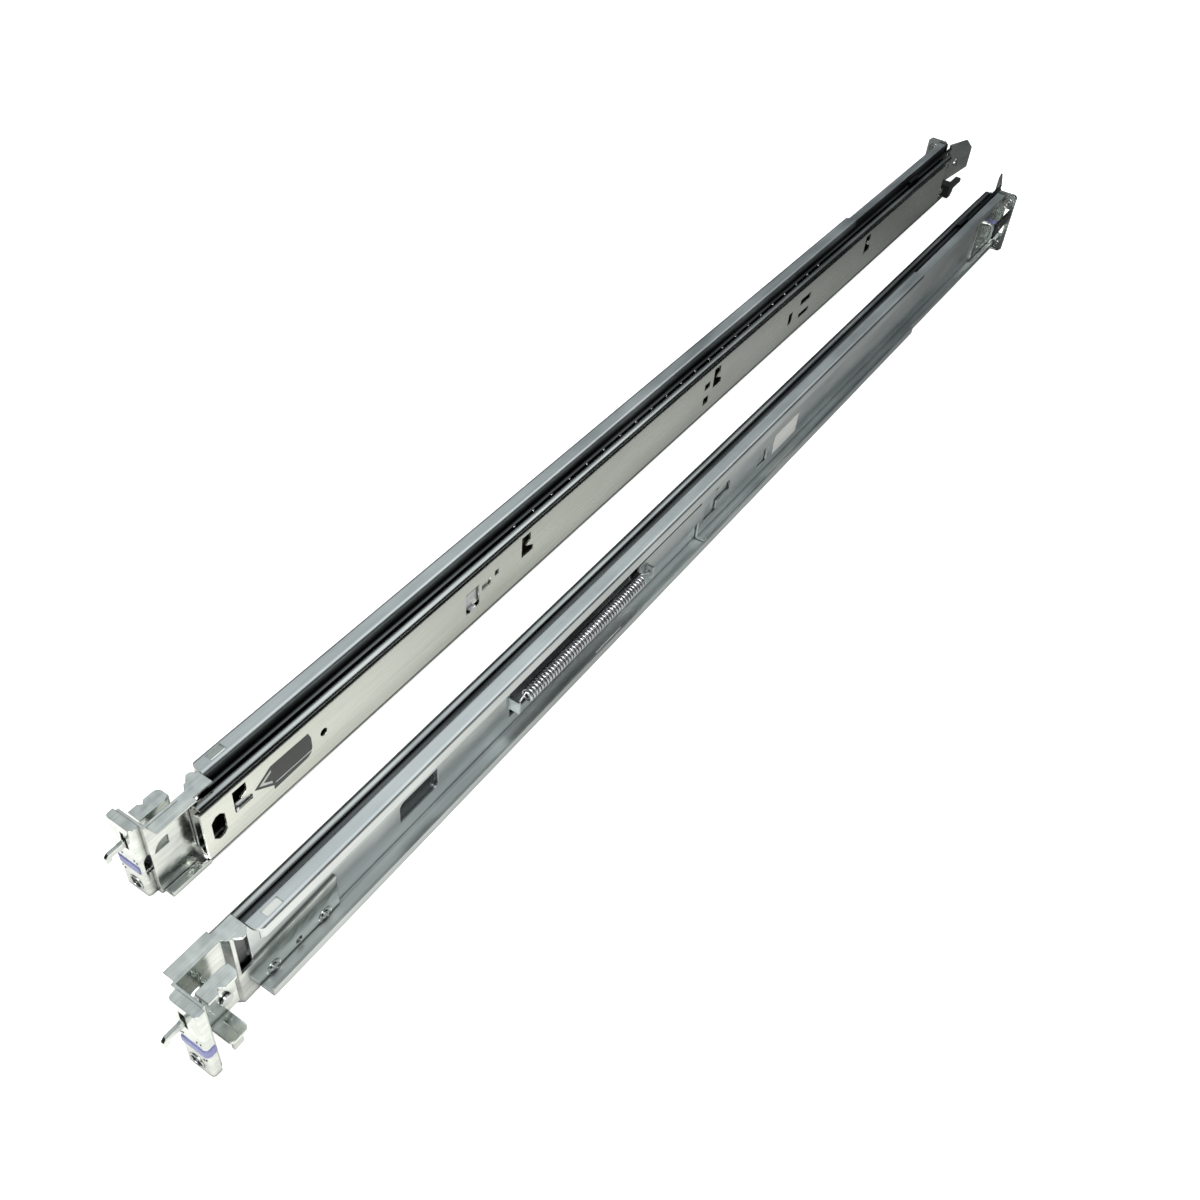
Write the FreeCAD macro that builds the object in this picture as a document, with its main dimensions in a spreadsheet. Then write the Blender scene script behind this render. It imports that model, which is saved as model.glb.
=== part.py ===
"""Pair of sliding server rails: a telescopic ball slide on a channel that adjusts to the rack's depth.

One rail is modelled in its own frame and mirrored for the other side.  In a rail's frame X runs from the
channel's outboard lip face towards the server, Y from the channel's front edge to the rear of the rack and
Z up from the channel's underside.  The pair's origin lies midway between the rails, under their mid-length.
"""
import FreeCAD, Part

import math
import os
import re

import Sketcher
from FreeCAD import Vector

# Every size in millimetres or degrees, by group.
SIZES = {
    # pair
    "pair_width": 74.0,
    "rail_stagger": 37.0,
    "left_rear_draw": 12.0,
    # outer channel
    "channel_length": 584.0,
    "channel_height": 43.0,
    "channel_depth": 8.2,
    "channel_wall": 1.2,
    "bend_radius": 0.5,
    "top_lip": 6.0,
    "bottom_lip": 5.6,
    "bottom_step": 1.8,
    "corner_radius": 4.0,
    "flange_slot_start": 6.5,
    "flange_slot_length": 7.8,
    "flange_slot_edge": 2.0,
    "flange_slot_width": 3.6,
    "finger_start": 81.5,
    "finger_length": 24.0,
    "finger_low": 10.4,
    "finger_height": 11.6,
    "finger_radius": 3.0,
    "window_start": 155.0,
    "window_length": 112.0,
    "window_low": 8.0,
    "window_height": 22.0,
    "drain_start": 217.0,
    "drain_length": 23.0,
    "drain_edge": 0.7,
    "drain_width": 1.5,
    # front bracket
    "bracket_wall": 1.2,
    "bracket_play": 0.3,
    "bracket_front": 31.0,
    "bracket_jog": 10.0,
    "jog_lead": 0.4,
    "jog_run": 2.64,
    "jog_back_run": 2.04,
    "tongue_reach": 43.0,
    "tongue_top_start": 3.6,
    "over": 1.0,
    "tongue_front_height": 18.0,
    "tongue_rear_height": 20.7,
    "shelf_reach": 6.6,
    "shelf_setback": 1.5,
    "shelf_lip": 4.0,
    "ear_outboard": 3.2,
    "ear_inboard": 13.2,
    "ear_length": 4.5,
    "ear_chamfer": 2.5,
    "tongue_hole_y": 20.9,
    "tongue_hole_z": 4.6,
    "tongue_hole": 3.4,
    "drop_cut_start": 30.0,
    "drop_cut_length": 8.0,
    "drop_cut_lead": 1.0,
    "drop_cut_radius": 5.6,
    "drop_cut_low": 25.0,
    "drop_cut_height": 5.0,
    # front plate
    "plate_outboard": 6.5,
    "plate_inboard": 7.0,
    "plate_depth": 4.0,
    "plate_wall": 1.2,
    "flange_outboard": 5.0,
    "side_wall_low": 24.0,
    "side_gap": 10.5,
    "side_gap_sag": 3.0,
    "touch_low": 15.0,
    "touch_height": 4.0,
    "touch_proud": 0.4,
    "touch_edge": 5.9,
    "touch_fit": 0.1,
    "touch_wall": 1.2,
    "bush_x": 0.8,
    "bush_z": 5.5,
    "bush_diameter": 7.5,
    "bush_bore": 5.0,
    "bush_fit": 0.1,
    # latches
    "latch_wall": 1.5,
    "latch_x": 0.8,
    "latch_play": 0.8,
    "latch_lift": 4.4,
    "pivot_y": 18.3,
    "pivot_z": 24.0,
    "pin_diameter": 3.0,
    "pin_fit": 0.06,
    "pin_head": 5.0,
    "pin_head_height": 1.0,
    "side_play": 0.3,
    "hook_tip": 44.3,
    "hook_top": 34.0,
    "hook_low": 29.6,
    "hook_barb": 2.4,
    "hook_web": 2.6,
    "hook_nose": 1.4,
    "lever_rear": 13.0,
    "lever_width": 14.0,
    "lever_low": 15.0,
    "lever_top": 39.0,
    "tab_outboard": 3.6,
    "tab_inboard": 3.0,
    "tab_length": 14.5,
    "tab_radius": 2.6,
    "tab_neck": 1.6,
    "finger_tab_reach": 9.8,
    "finger_tab_length": 8.4,
    "finger_tab_radius": 2.0,
    "leg_x": 6.5,
    "leg_low": 4.0,
    "leg_length": 4.6,
    "leg_setback": 2.6,
    # slide
    "slide_depth": 9.4,
    "slide_centre": 22.0,
    "slide_wall": 1.1,
    "race_radius": 1.35,
    "ball_diameter": 2.5,
    "row_height": 14.35,
    "fixed_lip_angle": 66.0,
    "middle_lip_angle": 20.0,
    "inner_top_angle": 15.0,
    "inner_lip_angle": 105.0,
    "cage_wall": 0.3,
    "cage_gap": 0.15,
    "cage_length": 340.0,
    "cage_start": 190.0,
    "ball_inset": 6.0,
    "fixed_front": 5.0,
    "fixed_end": 747.0,
    "middle_front": 11.0,
    "middle_end": 735.0,
    "inner_front": 12.0,
    "inner_end": 724.0,
    "cage_edge": 0.9,
    "slot_top": 12.0,
    "slot_drop": 12.6,
    "slot_mouth": 7.2,
    "slot_mouth_height": 5.0,
    "slot_waist": 2.9,
    "slot_foot": 9.5,
    "first_slot": 3.9,
    "second_slot": 193.5,
    "third_slot": 380.0,
    "fourth_slot": 585.0,
    "nose_slot_end": 8.0,
    "nose_slot_length": 7.0,
    "nose_slot_height": 14.0,
    "lock_slot_start": 150.0,
    "lock_slot_length": 10.0,
    "lock_slot_low": -6.0,
    "lock_slot_height": 13.0,
    "lock_pivot": 175.7,
    "lock_width": 9.0,
    "lock_wall": 1.0,
    "lock_proud": 0.8,
    "leaf_gap": 0.3,
    "leaf_wall": 0.6,
    "leaf_end": 30.0,
    "leaf_low": -6.0,
    "leaf_height": 8.5,
    "leaf_boss": 4.0,
    "leaf_boss_end": 28.0,
    "catch_setback": 0.5,
    "lug_start": 669.0,
    "lug_length": 13.5,
    "lug_height": 2.0,
    "lug_width": 2.4,
    "flare_start": 738.0,
    "flare_bend": 747.0,
    "flare_end": 772.0,
    "flare_reach": 9.7,
    "flare_wall": 1.2,
    "flare_low": 11.6,
    "flare_height": 29.6,
    "flare_corner": 7.0,
    "flare_foot": 20.6,
    "stop_low": 1.0,
    "stop_height": 9.4,
    "stop_depth": 9.6,
    "stop_length": 9.0,
    "stop_hook_end": 771.0,
    "stop_hook_width": 3.4,
    "stop_hook_height": 4.2,
    # rear channel
    "rear_play": 0.3,
    "rear_wall": 1.2,
    "rear_start": 318.0,
    "rear_plate_y": 733.0,
    "tongue_start": 258.0,
    "tongue_low": 13.0,
    "tongue_height": 12.0,
    "rear_top_lip": 5.0,
    "rear_bottom_lip": 4.0,
    "rear_plate_wall": 1.5,
    "rear_plate_outboard": 7.0,
    "rear_plate_inboard": 8.0,
    "rear_tongue_length": 34.0,
    "rear_tab_y": 264.0,
    "rear_cut_start": 322.0,
    "rear_cut_length": 27.0,
    "rear_cut_low": 9.0,
    "rear_port": 381.7,
    "rear_latch_x": -3.6,
    "rear_latch_length": 18.0,
    "rear_hook": 12.0,
    "rear_hook_tail": 6.0,
    "rear_hook_body": 5.0,
    "rear_hook_step": 4.0,
    "rear_hook_drop": 7.5,
    "rear_hook_nose": 2.5,
    "rear_pivot_y": 722.0,
    "rear_pivot_z": 22.0,
    "rear_slot_play": 1.5,
    "rear_touch_x": 0.6,
    "rear_touch_width": 6.6,
    "rear_touch_rise": 2.0,
    "rear_corner": 2.0,
    "rear_cut_step": 7.0,
    "rear_port_length": 10.7,
    "rear_port_low": 8.2,
    "rear_port_height": 10.2,
    "stud_low": 3.9,
    "stud_pitch": 32.0,
    "stud_x": 2.0,
    "stud_diameter": 6.0,
    "stud_length": 9.5,
    # spring
    "spring_x": 3.1,
    "spring_z": 18.7,
    "spring_diameter": 7.0,
    "spring_wire": 0.9,
    "spring_tab_y": 153.8,
    "spring_tab_reach": 6.0,
    "spring_tab_low": 15.2,
    "spring_tab_height": 7.0,
    "coil_inset": 6.6,
    # rivets
    "rivet_diameter": 3.6,
    "rivet_height": 0.5,
}

# Rows of rivets and round holes, as (along, height) with a diameter last, and of square-cornered slots,
# as (start, length, foot, height).
TONGUE_RIVETS = [("7.3", "4"), ("35", "4")]
REAR_RIVETS = [("710", "9"), ("710", "34")]
WEB_HOLE = ("54.2", "1", "4")
LONG_SLOTS = [
    ("162", "7", "1", "4"), ("172", "3", "3.5", "3"), ("370", "6", "2.5", "4"), ("370", "6", "-8", "5"),
    ("475", "5", "-4.5", "8"), ("490", "14", "3", "4"), ("490", "14", "-6", "3"),
]

# Places that several pieces share.
WEB = "channel_depth - channel_wall"
OUTER_BALL = "channel_depth + slide_wall + race_radius"
INNER_BALL = "channel_depth + 2 * slide_wall + 3 * race_radius"
FIXED_WEB = "channel_depth + slide_wall"
MIDDLE_WEB = "channel_depth + slide_wall + cage_wall + 2 * cage_gap"
INNER_FACE = "channel_depth + slide_depth"
ROLL = "race_radius + slide_wall"
BRACKET_FACE = MIDDLE_WEB + " - bracket_play"
BRACKET_BACK = BRACKET_FACE + " - bracket_wall"
PLATE_FRONT = "-(bracket_front + plate_depth)"
REAR_WEB = "channel_depth - channel_wall - rear_play"
REAR_TOP = "channel_height - channel_wall - rear_play"
REAR_FLOOR = "channel_wall + rear_play"
REAR_TONGUE = REAR_WEB + " - 2 * rear_wall"
REAR_POST = "rear_plate_y + rear_plate_wall"
REAR_SLOT = "rear_pivot_z - rear_hook_drop - rear_slot_play"
MID_LENGTH = "(flare_end - hook_tip) / 2"

PLANES = {"x": ("YZ_Plane", 1), "y": ("XZ_Plane", -1), "z": ("XY_Plane", 1)}

document = FreeCAD.newDocument("server_rail_pair")
sheet = document.addObject("Spreadsheet::Sheet", "Dims")
for row, (name, size) in enumerate(SIZES.items(), start=1):
    sheet.set(f"A{row}", name.replace("_", " "))
    sheet.set(f"B{row}", str(size))
    sheet.setAlias(f"B{row}", name)
document.recompute()


def formula(text):
    """Expression text with every size's name pointed at its cell of the sheet."""
    return re.sub(r"[a-z]\w+", lambda word: "Dims." + word[0] if word[0] in SIZES else word[0], text)


def value(text):
    return float(sheet.evalExpression(formula(text)))


def bind(target, prop, text):
    target.setExpression(prop, formula(text))


def offset(text, sign, amount):
    """The text moved by the amount, up or down by the sign, or left as it is for a sign of 0."""
    if not sign:
        return text
    return f"{text} {'+' if sign > 0 else '-'} ({amount})"


# ---- outlines: corners (x, y), or (x, y, radius, turn) where the edge that arrives there is an arc ----

def rectangle(x0, x1, y0, y1):
    return [(x0, y0), (x1, y0), (x1, y1), (x0, y1)]


def cropped(x0, x1, y0, y1, cut):
    """Rectangle with its four corners cut off straight."""
    left, right = offset(x0, 1, cut), offset(x1, -1, cut)
    low, high = offset(y0, 1, cut), offset(y1, -1, cut)
    return [(left, y0), (right, y0), (x1, low), (x1, high), (right, y1), (left, y1), (x0, high), (x0, low)]


def circle(x, y, diameter):
    return {"circle": (x, y, diameter)}


def turned(path):
    """The outline mirrored across its horizontal axis and run backwards, without the first corner's arc."""
    flipped = []
    for index in range(len(path) - 1, -1, -1):
        x, y = path[index][:2]
        arc = path[index + 1][2:] if index + 1 < len(path) else ()
        flipped.append((x, f"-({y})") + tuple(arc))
    return flipped


def folded(corners, wall, side):
    """Section of a sheet folded square: the corners run along one face, the metal lies on the side
    (1 left, -1 right) of that run and each fold has the common inner radius."""
    at = [(value(x), value(y)) for x, y in corners]
    steps = []
    for (xa, ya), (xb, yb) in zip(at, at[1:]):
        steps.append((round(math.copysign(xb != xa, xb - xa)), round(math.copysign(yb != ya, yb - ya))))
    normals = [(-side * dy, side * dx) for dx, dy in steps]

    near = [corners[0]]
    far = [tuple(offset(c, n, wall) for c, n in zip(corners[0], normals[0]))]
    for index in range(1, len(corners) - 1):
        before, after = steps[index - 1], steps[index]
        turn = before[0] * after[1] - before[1] * after[0]
        across = [a + b for a, b in zip(normals[index - 1], normals[index])]
        outside = f"bend_radius + {wall}"
        near_radius, far_radius = (outside, "bend_radius") if turn == side else ("bend_radius", outside)
        moved = tuple(offset(c, n, wall) for c, n in zip(corners[index], across))
        for run, corner, radius in ((near, corners[index], near_radius), (far, moved, far_radius)):
            run.append(tuple(offset(c, -d, radius) for c, d in zip(corner, before)))
            run.append(tuple(offset(c, d, radius) for c, d in zip(corner, after)) + (radius, turn))
    near.append(corners[-1])
    far.append(tuple(offset(c, n, wall) for c, n in zip(corners[-1], normals[-1])))

    back = []
    for index in range(len(far) - 1, -1, -1):
        arc = far[index + 1][2:] if index + 1 < len(far) else ()
        back.append(far[index][:2] + ((arc[0], -arc[1]) if arc else ()))
    return near + back


def arc_edge(start, end, radius, turn):
    """Arc of under half a turn from start to end, anticlockwise for a turn of 1."""
    chord = end - start
    height = math.sqrt(max(radius**2 - (chord.Length / 2) ** 2, 0))
    left = Vector(-chord.y, chord.x, 0).normalize()
    centre = start + chord * 0.5 + left * (height * turn)
    first, last = (start, end) if turn > 0 else (end, start)
    angles = [math.atan2(point.y - centre.y, point.x - centre.x) for point in (first, last)]
    return Part.ArcOfCircle(Part.Circle(centre, Vector(0, 0, 1), radius), *angles)


def constrain(sketch, kind, *references):
    """A dimension of the sketch, bound to its expression (the last reference)."""
    text = references[-1]
    index = sketch.addConstraint(Sketcher.Constraint(kind, *references[:-1], value(text)))
    bind(sketch, f"Constraints[{index}]", text)


def draw(sketch, path):
    """Adds a closed outline, each corner and radius held by a bound dimension."""
    if isinstance(path, dict):
        x, y, diameter = path["circle"]
        centre = Vector(value(x), value(y), 0)
        edge = sketch.addGeometry(Part.Circle(centre, Vector(0, 0, 1), value(diameter) / 2), False)
        constrain(sketch, "DistanceX", -1, 1, edge, 3, x)
        constrain(sketch, "DistanceY", -1, 1, edge, 3, y)
        constrain(sketch, "Diameter", edge, diameter)
        return
    points = [Vector(value(corner[0]), value(corner[1]), 0) for corner in path]
    ends = []
    for index, corner in enumerate(path):
        following = path[(index + 1) % len(path)]
        start, end = points[index], points[(index + 1) % len(path)]
        if (end - start).Length < 1e-6:
            continue
        if len(following) > 2:
            radius, turn = following[2:]
            edge = sketch.addGeometry(arc_edge(start, end, value(radius), turn), False)
            ends.append((edge, 1 if turn > 0 else 2, 2 if turn > 0 else 1, corner, radius))
        else:
            edge = sketch.addGeometry(Part.LineSegment(start, end), False)
            ends.append((edge, 1, 2, corner, None))
    for index, (edge, first, last, corner, radius) in enumerate(ends):
        next_edge, next_first = ends[(index + 1) % len(ends)][:2]
        sketch.addConstraint(Sketcher.Constraint("Coincident", edge, last, next_edge, next_first))
        constrain(sketch, "DistanceX", -1, 1, edge, first, corner[0])
        constrain(sketch, "DistanceY", -1, 1, edge, first, corner[1])
        if radius:
            constrain(sketch, "Radius", edge, radius)


# ---- features ----

def new_body(label, rise="0", along="0"):
    """Body of the left rail, in that rail's frame."""
    body = document.addObject("PartDesign::Body", label)
    body.Label = label
    bind(body, "Placement.Base.x", "-pair_width / 2")
    bind(body, "Placement.Base.y", f"rail_stagger / 2 - {MID_LENGTH} + {along}")
    bind(body, "Placement.Base.z", rise)
    return body


def sketch_on(body, axis, level, *paths):
    role, sign = PLANES[axis]
    plane = next(item for item in body.Origin.OriginFeatures if item.Role == role)
    sketch = body.newObject("Sketcher::SketchObject", body.Label + "_outline")
    sketch.AttachmentSupport = [(plane, "")]
    sketch.MapMode = "FlatFace"
    bind(sketch, "AttachmentOffset.Base.z", f"{sign} * ({level})")
    for path in paths:
        draw(sketch, path)
    return sketch


def pad(body, axis, start, end, *paths):
    """Adds the outlines' metal between two levels of an axis."""
    feature = body.newObject("PartDesign::Pad", body.Label + "_pad")
    feature.Profile = sketch_on(body, axis, start, *paths)
    feature.Reversed = axis == "y"
    bind(feature, "Length", f"({end}) - ({start})")
    return feature


def pocket(body, axis, start, end, *paths):
    """Cuts the outlines away between two levels of an axis."""
    feature = body.newObject("PartDesign::Pocket", body.Label + "_cut")
    feature.Profile = sketch_on(body, axis, start, *paths)
    feature.Reversed = axis != "y"
    bind(feature, "Length", f"({end}) - ({start})")
    return feature


def octagon(x, y, diameter):
    half, flat = f"({diameter}) / 2 * cos(22.5)", f"({diameter}) / 2 * sin(22.5)"
    sides = [(half, f"-{flat}"), (half, flat), (flat, half), (f"-{flat}", half),
             (f"-{half}", flat), (f"-{half}", f"-{flat}"), (f"-{flat}", f"-{half}"), (flat, f"-{half}")]
    return [(f"{x} + {a}", f"{y} + {b}") for a, b in sides]


def ball(body, x, y, z):
    """Ball in three flat-sided bands; the full rows are polished balls."""
    crown, cheek = "ball_diameter / 2", "ball_diameter / 4"
    pad(body, "y", f"{y} - {cheek}", f"{y} + {cheek}", octagon(x, z, "ball_diameter"))
    pad(body, "y", f"{y} - {crown}", f"{y} + {crown}", octagon(x, z, "ball_diameter * 0.7"))


def rivet_row(body, axis, start, end, places, diameter="rivet_diameter"):
    pad(body, axis, start, end, *(circle(a, b, diameter) for a, b in places))


# ---- fixed frame ----

def outer_channel():
    body = new_body("outer_channel_left")
    section = folded([
        ("0", "channel_height - top_lip"), ("0", "channel_height"), ("channel_depth", "channel_height"),
        ("channel_depth", "0"), ("-bottom_step", "0"), ("-bottom_step", "bottom_lip"),
    ], "channel_wall", -1)
    pad(body, "y", "0", "channel_length", section)
    finger_end, finger_top = "finger_start + finger_length", "finger_low + finger_height"
    pocket(body, "x", WEB, "channel_depth", [
        ("finger_start", "finger_low"), (f"{finger_end} - finger_radius", "finger_low"),
        (finger_end, "finger_low + finger_radius", "finger_radius", 1), (finger_end, finger_top),
        ("finger_start + finger_radius", finger_top),
        ("finger_start", f"{finger_top} - finger_radius", "finger_radius", 1)])
    pocket(body, "x", WEB, "channel_depth", rectangle(
        "window_start", "window_start + window_length", "window_low", "window_low + window_height"))
    pocket(body, "z", "channel_height - channel_wall", "channel_height", rectangle(
        "flange_slot_edge", "flange_slot_edge + flange_slot_width",
        "flange_slot_start", "flange_slot_start + flange_slot_length"))
    pocket(body, "z", "0", "channel_wall", rectangle(
        "drain_edge", "drain_edge + drain_width", "drain_start", "drain_start + drain_length"))
    pocket(body, "z", "channel_height - top_lip", "channel_height", [
        ("0", "0"), ("corner_radius", "0"), ("0", "corner_radius", "corner_radius", -1)])
    pad(body, "y", "spring_tab_y", "spring_tab_y + channel_wall", rectangle(
        f"{WEB} - spring_tab_reach", WEB, "spring_tab_low", "spring_tab_low + spring_tab_height"))
    return body


def front_bracket():
    """Flanged pressing that carries the front plate: its web steps outboard to a tongue on the channel."""
    body = new_body("front_bracket_left")
    back, face = BRACKET_BACK, BRACKET_FACE
    step = "bracket_wall"
    shelf_end = f"{back} + shelf_reach"
    shelf_start = "-(bracket_front - shelf_setback)"
    pad(body, "y", shelf_start, "-bracket_jog", folded([
        (shelf_end, "channel_height"), (back, "channel_height"), (back, "0"),
        (shelf_end, "0"), (shelf_end, "shelf_lip")], step, 1))
    pad(body, "z", "0", "channel_height", [
        ("-flange_outboard", "-bracket_front"), (face, "-bracket_front"), (face, "-bracket_jog + jog_lead"),
        (WEB, "-bracket_jog + jog_run"), (WEB, "tongue_reach"),
        (f"{WEB} - {step}", "tongue_reach"), (f"{WEB} - {step}", "-bracket_jog + jog_back_run"),
        (back, "-bracket_jog"), (back, f"-bracket_front + {step}"),
        ("-flange_outboard", f"-bracket_front + {step}")])
    pocket(body, "x", "0", "channel_depth", [
        ("-bracket_jog + tongue_top_start", "tongue_front_height"), ("tongue_reach", "tongue_rear_height"),
        ("tongue_reach + over", "channel_height + over"),
        ("-bracket_jog + tongue_top_start", "channel_height + over")])
    pocket(body, "x", "0", "channel_depth", rectangle(
        "-bracket_play", "tongue_reach", "0", "channel_wall + bend_radius"))
    pad(body, "z", f"channel_height - {step}", "channel_height", [
        (f"{back} + {step} / 2", "-bracket_jog - ear_length"), (shelf_end, "-bracket_jog - ear_length"),
        ("ear_inboard", "-bracket_jog"), ("ear_inboard", "-bracket_play"),
        ("ear_outboard + ear_chamfer", "-bracket_play"), ("ear_outboard", "-bracket_play - ear_chamfer"),
        ("ear_outboard", "-ear_length"), (f"{back} + {step} / 2", "-bracket_jog")])
    pocket(body, "x", back, face, [
        ("-drop_cut_start + drop_cut_lead", "drop_cut_low"), ("-drop_cut_start + drop_cut_length", "drop_cut_low"),
        ("-drop_cut_start + drop_cut_length", "drop_cut_low + drop_cut_height"),
        ("-drop_cut_start + drop_cut_lead", "drop_cut_low", "drop_cut_radius", 1)])
    pocket(body, "x", f"{WEB} - {step}", WEB, circle("tongue_hole_y", "tongue_hole_z", "tongue_hole"))
    hook_gap(body, "-bracket_front", f"-bracket_front + {step}")
    pocket(body, "y", "-bracket_front", f"-bracket_front + {step}", circle("bush_x", "bush_z", "bush_bore"))
    return body


def hook_gap(body, start, end):
    """Opening that the latch hook swings in."""
    pocket(body, "y", start, end, rectangle(
        "latch_x - latch_play", "latch_x + latch_wall + latch_play",
        "hook_low - latch_play", "hook_top + latch_lift"))


def front_plate():
    body = new_body("front_plate_left")
    pad(body, "z", "0", "channel_height", folded([
        ("-plate_outboard", "-bracket_front"), ("-plate_outboard", PLATE_FRONT),
        ("plate_inboard", PLATE_FRONT), ("plate_inboard", "-bracket_front")], "plate_wall", 1))
    pad(body, "z", "channel_height - plate_wall", "channel_height", rectangle(
        "-plate_outboard + plate_wall", "plate_inboard - plate_wall / 2",
        f"{PLATE_FRONT} + plate_wall / 2", "-bracket_front"))
    pocket(body, "x", "plate_inboard - plate_wall", "plate_inboard", [
        (f"{PLATE_FRONT} + plate_wall + bend_radius", "side_wall_low - side_gap"),
        ("-bracket_front", "side_wall_low - side_gap"), ("-bracket_front", "side_wall_low"),
        (f"{PLATE_FRONT} + plate_wall + bend_radius", "side_wall_low - side_gap_sag", "plate_depth", 1)])
    pocket(body, "z", "touch_low", "touch_low + touch_height", rectangle(
        "-plate_outboard", "touch_edge", PLATE_FRONT, "-bracket_front"))
    hook_gap(body, PLATE_FRONT, f"{PLATE_FRONT} + plate_wall")
    pocket(body, "y", PLATE_FRONT, f"{PLATE_FRONT} + plate_wall", circle("bush_x", "bush_z", "bush_diameter"))
    return body


def front_bush():
    body = new_body("front_bush_left")
    pad(body, "y", f"{PLATE_FRONT} + touch_proud", "-bracket_front",
        circle("bush_x", "bush_z", "bush_diameter - 2 * bush_fit"))
    pocket(body, "y", f"{PLATE_FRONT} + touch_proud", "-bracket_front", circle("bush_x", "bush_z", "bush_bore"))
    return body


def front_touch_piece():
    body = new_body("front_touch_piece_left")
    front = f"{PLATE_FRONT} - touch_proud"
    pad(body, "z", "touch_low + touch_fit", "touch_low + touch_height - touch_fit", folded([
        ("-plate_outboard - touch_proud", "-bracket_front"), ("-plate_outboard - touch_proud", front),
        ("touch_edge - touch_fit", front)], "plate_wall + touch_proud", 1))
    return body


def front_latch():
    """Bent sheet: hook and lever in one upright plate, waisted thumb tab on top, finger tab and leg below."""
    body = new_body("front_latch_left")
    inner = "latch_x + latch_wall"
    rear, front = "-lever_rear", "-(lever_rear + lever_width)"
    barb = "-hook_tip + hook_barb"
    pad(body, "x", "latch_x", inner, [
        (rear, "lever_low"), (rear, "lever_top"), (front, "lever_top"), (front, "hook_top"),
        ("-hook_tip + hook_nose", "hook_top"), ("-hook_tip", "hook_top - hook_nose"), ("-hook_tip", "hook_low"),
        (barb, "hook_low"), (barb, "hook_top - hook_web"), (front, "hook_top - hook_web - latch_wall"),
        (front, "lever_low")])
    tab_rear = f"{rear} - tab_length"
    neck = f"{rear} - 0.6 * tab_length"
    outboard = "-tab_outboard + tab_neck"
    pad(body, "z", "lever_top - latch_wall", "lever_top", [
        ("-tab_outboard", tab_rear), ("tab_inboard", tab_rear), ("tab_inboard", neck),
        ("tab_inboard", f"{rear} - tab_radius"), ("tab_inboard - tab_radius", rear, "tab_radius", 1),
        ("-tab_outboard + tab_radius", rear), ("-tab_outboard", f"{rear} - tab_radius", "tab_radius", 1),
        ("-tab_outboard", f"{neck} + tab_neck"), (outboard, neck), ("-tab_outboard", f"{neck} - tab_neck")])
    tab_end = f"{front} + finger_tab_length"
    reach, corner = "-finger_tab_reach", "finger_tab_radius"
    pad(body, "z", "lever_low", "lever_low + latch_wall", [
        (inner, front), (inner, tab_end), (f"{reach} + {corner}", tab_end),
        (reach, f"{tab_end} - {corner}", corner, 1), (reach, f"{front} + {corner}"),
        (f"{reach} + {corner}", front, corner, 1)])
    leg = f"{front} + leg_setback"
    pad(body, "z", "leg_low", "lever_low + latch_wall / 2", rectangle(
        "-leg_x", "-leg_x + latch_wall", leg, f"{leg} + leg_length"))
    pocket(body, "x", "latch_x", inner, circle("-pivot_y", "pivot_z", "pin_diameter + 2 * pin_fit"))
    return body


def pivot_pin(label, y, z, outer, seat, along="0"):
    """Pin across the rail, from the latch's outboard side to the web that carries it."""
    body = new_body(label, along=along)
    pad(body, "x", f"{outer} - side_play", seat, circle(y, z, "pin_diameter"))
    return body


def front_rivets():
    body = new_body("front_rivets_left")
    back = f"{WEB} - bracket_wall"
    rivet_row(body, "x", f"{back} - rivet_height", back, TONGUE_RIVETS)
    return body


# ---- telescopic slide, drawn about its centre line ----

def lobe(centre, angle, radius):
    """Point at an angle on a circle about a ball's centre in the upper row."""
    return (f"{centre} + ({radius}) * cos({angle})", f"row_height + ({radius}) * sin({angle})")


def below_row(radius, aside):
    """Height where a circle about the upper row's ball centre stands at a distance aside of it."""
    return f"row_height - sqrt(({radius})^2 - ({aside})^2)"


def whole(upper):
    """Closed section from its upper half, which runs over the top from the outboard to the inboard face."""
    return upper + turned(upper)


def slide_fixed():
    body = new_body("slide_fixed_left", "slide_centre")
    pad(body, "y", "-fixed_front", "fixed_end", whole([
        ("channel_depth", "row_height"),
        lobe(OUTER_BALL, "fixed_lip_angle", ROLL) + (ROLL, -1),
        lobe(OUTER_BALL, "fixed_lip_angle", "race_radius"),
        (FIXED_WEB, "row_height", "race_radius", 1)]))
    crown = f"row_height + {ROLL}"
    pad(body, "y", "lug_start", "lug_start + lug_length", rectangle(
        f"{OUTER_BALL} - lug_width / 2", f"{OUTER_BALL} + lug_width / 2",
        f"{crown} - slide_wall / 2", f"{crown} + lug_height"))
    return body


def slide_middle():
    body = new_body("slide_middle_left", "slide_centre")
    face = f"{MIDDLE_WEB} + slide_wall"
    pad(body, "y", "-middle_front", "middle_end", whole([
        (MIDDLE_WEB, below_row("race_radius", f"{OUTER_BALL} - ({MIDDLE_WEB})")),
        (f"{OUTER_BALL} + race_radius", "row_height", "race_radius", 1),
        lobe(INNER_BALL, "middle_lip_angle", ROLL) + (ROLL, -1),
        lobe(INNER_BALL, "middle_lip_angle", "race_radius"),
        (f"{INNER_BALL} - race_radius", "row_height", "race_radius", 1),
        (face, below_row(ROLL, f"{face} - ({OUTER_BALL})"), ROLL, -1)]))
    return body


def j_slot(start):
    """Outline of a keyed slot: a stud drops in at the wide mouth and slides to the rearward foot."""
    top, foot = "slot_top", "slot_top - slot_drop"
    neck = "slot_top - slot_mouth_height"
    return [
        (start, foot), (f"{start} + slot_foot", foot),
        (f"{start} + slot_foot", f"{foot} + slot_waist"),
        (f"{start} + slot_mouth / 2", f"{foot} + 2 * slot_waist"),
        (f"{start} + slot_mouth", neck), (f"{start} + slot_mouth", top), (start, top)]


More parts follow.
